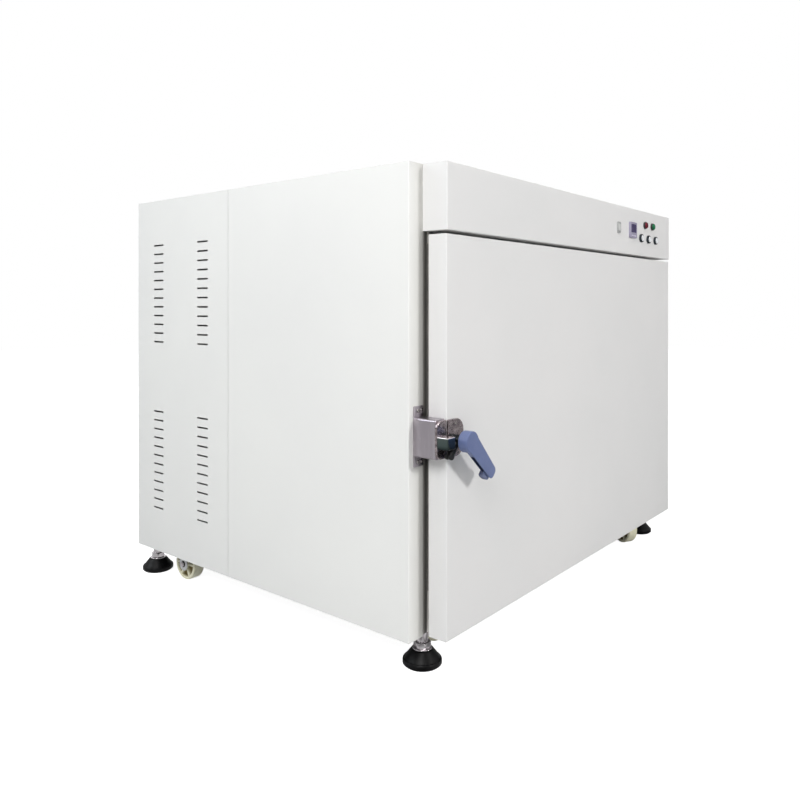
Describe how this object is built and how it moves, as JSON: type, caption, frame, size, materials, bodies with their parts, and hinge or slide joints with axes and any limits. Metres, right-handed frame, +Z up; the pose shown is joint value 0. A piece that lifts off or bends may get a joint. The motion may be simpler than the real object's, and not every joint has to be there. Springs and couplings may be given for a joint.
{
  "type": "vacuum drying oven",
  "caption": "Floor-standing vacuum drying oven: sheet-steel cabinet on levelling feet and casters, side-hinged door with a lever latch, control fascia above, vented pump bay behind.",
  "frame": {"origin": "on the floor, under the centre of the object's footprint", "axes": "+X to the right seen from the front, +Y from the door to the back, +Z up"},
  "size_m": [1.39, 1.16, 1.08],
  "materials": {
    "panel_paint": "powder-coated, light texture",
    "frame_paint": "powder-coated, satin",
    "gap_paint": "matt black",
    "tray_steel": "satin grey",
    "stainless": "brushed",
    "wool": "matt mineral wool",
    "heater_foil": "dull foil",
    "pipe_steel": "polished",
    "pump_casting": "hammered blue-grey",
    "zinc_steel": "zinc-plated",
    "gland_nylon": "matt black",
    "controller_plastic": "satin violet-grey",
    "display_window": "dark gloss",
    "switch_plastic": "light grey satin",
    "rocker_plastic": "grey satin",
    "red_lens": "clear red",
    "green_lens": "clear green",
    "bezel_chrome": "polished",
    "button_cap": "silver",
    "gasket_rubber": "matt black silicone",
    "latch_steel": "satin nickel",
    "strike_chrome": "polished",
    "tongue_steel": "blackened",
    "lever_paint": "blue-grey satin",
    "foot_rubber": "matt black",
    "stud_chrome": "polished",
    "wheel_nylon": "cream nylon"
  },
  "bodies": {
    "cabinet": {"base_tray": "tray_steel", "button_bezels": "bezel_chrome", "caster_plates": "zinc_steel", "chamber_heaters": "heater_foil", "chamber_insulation": "wool", "chamber_shell": "stainless", "control_fascia": "frame_paint", "controller_case": "controller_plastic", "controller_window": "display_window", "electrics_box": "zinc_steel", "foot_pads": "foot_rubber", "frame_screws": "zinc_steel", "front_frame": "gap_paint", "green_lamp": "green_lens", "hinge_frame_leaves": "latch_steel", "hinge_pins": "zinc_steel", "keeper_bracket": "latch_steel", "keeper_plate": "latch_steel", "keeper_strike": "strike_chrome", "left_front_panel": "panel_paint", "left_rear_panel": "panel_paint", "mains_gland": "gland_nylon", "rear_caster_axles": "zinc_steel", "rear_caster_forks": "zinc_steel", "rear_panel": "panel_paint", "red_lamp": "red_lens", "right_front_panel": "panel_paint", "right_rear_panel": "panel_paint", "switch_bezel": "switch_plastic", "temperature_probe": "stainless", "top_cover": "panel_paint", "vacuum_pipework": "pipe_steel", "vacuum_pump": "pump_casting"},
    "door": {"door_outer_skin": "frame_paint", "door_inner_panel": "stainless", "door_insulation": "wool", "door_gasket": "gasket_rubber", "latch_plate": "latch_steel", "door_screws": "zinc_steel", "hinge_door_leaves": "latch_steel"},
    "latch": {"latch_tongue": "tongue_steel", "lever_handle": "lever_paint"},
    "power_button": {"power_button": "button_cap"},
    "pump_button": {"pump_button": "button_cap"},
    "release_button": {"release_button": "button_cap"},
    "switch_rocker": {"switch_rocker": "rocker_plastic"},
    "upper_shelf": {"upper_shelf": "stainless"},
    "lower_shelf": {"lower_shelf": "stainless"},
    "front_left_swivel": {"front_left_caster_fork": "zinc_steel", "front_left_caster_axle": "zinc_steel"},
    "front_right_swivel": {"front_right_caster_fork": "zinc_steel", "front_right_caster_axle": "zinc_steel"},
    "front_left_wheel": {"front_left_caster_wheel": "wheel_nylon"},
    "front_right_wheel": {"front_right_caster_wheel": "wheel_nylon"},
    "rear_left_wheel": {"rear_left_caster_wheel": "wheel_nylon"},
    "rear_right_wheel": {"rear_right_caster_wheel": "wheel_nylon"},
    "front_left_foot": {"front_left_foot_stud": "stud_chrome"},
    "front_right_foot": {"front_right_foot_stud": "stud_chrome"},
    "rear_left_foot": {"rear_left_foot_stud": "stud_chrome"},
    "rear_right_foot": {"rear_right_foot_stud": "stud_chrome"}
  },
  "joints": [
    {"name": "door_hinge", "type": "hinge", "parent": "cabinet", "child": "door", "pos_m": [0.661, -0.505, 0.53], "axis": [0, 0, 1], "range_deg": [0, 120]},
    {"name": "latch_turn", "type": "hinge", "parent": "door", "child": "latch", "pos_m": [-0.628, -0.556, 0.5015], "axis": [0, -1, 0], "range_deg": [-45, 45]},
    {"name": "power_button_press", "type": "slide", "parent": "cabinet", "child": "power_button", "axis": [0, 1, 0], "range_m": [0, 0.003], "stiffness_N_per_m": 700},
    {"name": "pump_button_press", "type": "slide", "parent": "cabinet", "child": "pump_button", "axis": [0, 1, 0], "range_m": [0, 0.003], "stiffness_N_per_m": 700},
    {"name": "release_button_press", "type": "slide", "parent": "cabinet", "child": "release_button", "axis": [0, 1, 0], "range_m": [0, 0.003], "stiffness_N_per_m": 700},
    {"name": "rocker_tilt", "type": "hinge", "parent": "cabinet", "child": "switch_rocker", "pos_m": [0.223, -0.529, 1.013], "axis": [1, 0, 0], "range_deg": [0, 16]},
    {"name": "upper_shelf_slide", "type": "slide", "parent": "cabinet", "child": "upper_shelf", "axis": [0, -1, 0], "range_m": [0, 0.055]},
    {"name": "lower_shelf_slide", "type": "slide", "parent": "cabinet", "child": "lower_shelf", "axis": [0, -1, 0], "range_m": [0, 0.055]},
    {"name": "front_left_swivel_turn", "type": "hinge", "parent": "cabinet", "child": "front_left_swivel", "pos_m": [-0.484, -0.413, 0.102], "axis": [0, 0, 1], "continuous": true},
    {"name": "front_left_wheel_spin", "type": "hinge", "parent": "front_left_swivel", "child": "front_left_wheel", "pos_m": [-0.5015, -0.38269, 0.047], "axis": [-0.866, -0.5, 0], "continuous": true},
    {"name": "front_right_swivel_turn", "type": "hinge", "parent": "cabinet", "child": "front_right_swivel", "pos_m": [0.484, -0.413, 0.102], "axis": [0, 0, 1], "continuous": true},
    {"name": "front_right_wheel_spin", "type": "hinge", "parent": "front_right_swivel", "child": "front_right_wheel", "pos_m": [0.46811, -0.44418, 0.047], "axis": [0.891, -0.454, 0], "continuous": true},
    {"name": "rear_left_wheel_spin", "type": "hinge", "parent": "cabinet", "child": "rear_left_wheel", "pos_m": [-0.635, 0.385, 0.047], "axis": [1, 0, 0], "continuous": true},
    {"name": "rear_right_wheel_spin", "type": "hinge", "parent": "cabinet", "child": "rear_right_wheel", "pos_m": [0.635, 0.385, 0.047], "axis": [1, 0, 0], "continuous": true},
    {"name": "front_left_foot_turn", "type": "hinge", "parent": "cabinet", "child": "front_left_foot", "pos_m": [-0.61, -0.435, 0.035], "axis": [0, 0, 1], "continuous": true},
    {"name": "front_right_foot_turn", "type": "hinge", "parent": "cabinet", "child": "front_right_foot", "pos_m": [0.61, -0.435, 0.035], "axis": [0, 0, 1], "continuous": true},
    {"name": "rear_left_foot_turn", "type": "hinge", "parent": "cabinet", "child": "rear_left_foot", "pos_m": [-0.649, 0.525, 0.035], "axis": [0, 0, 1], "continuous": true},
    {"name": "rear_right_foot_turn", "type": "hinge", "parent": "cabinet", "child": "rear_right_foot", "pos_m": [0.649, 0.525, 0.035], "axis": [0, 0, 1], "continuous": true}
  ]
}
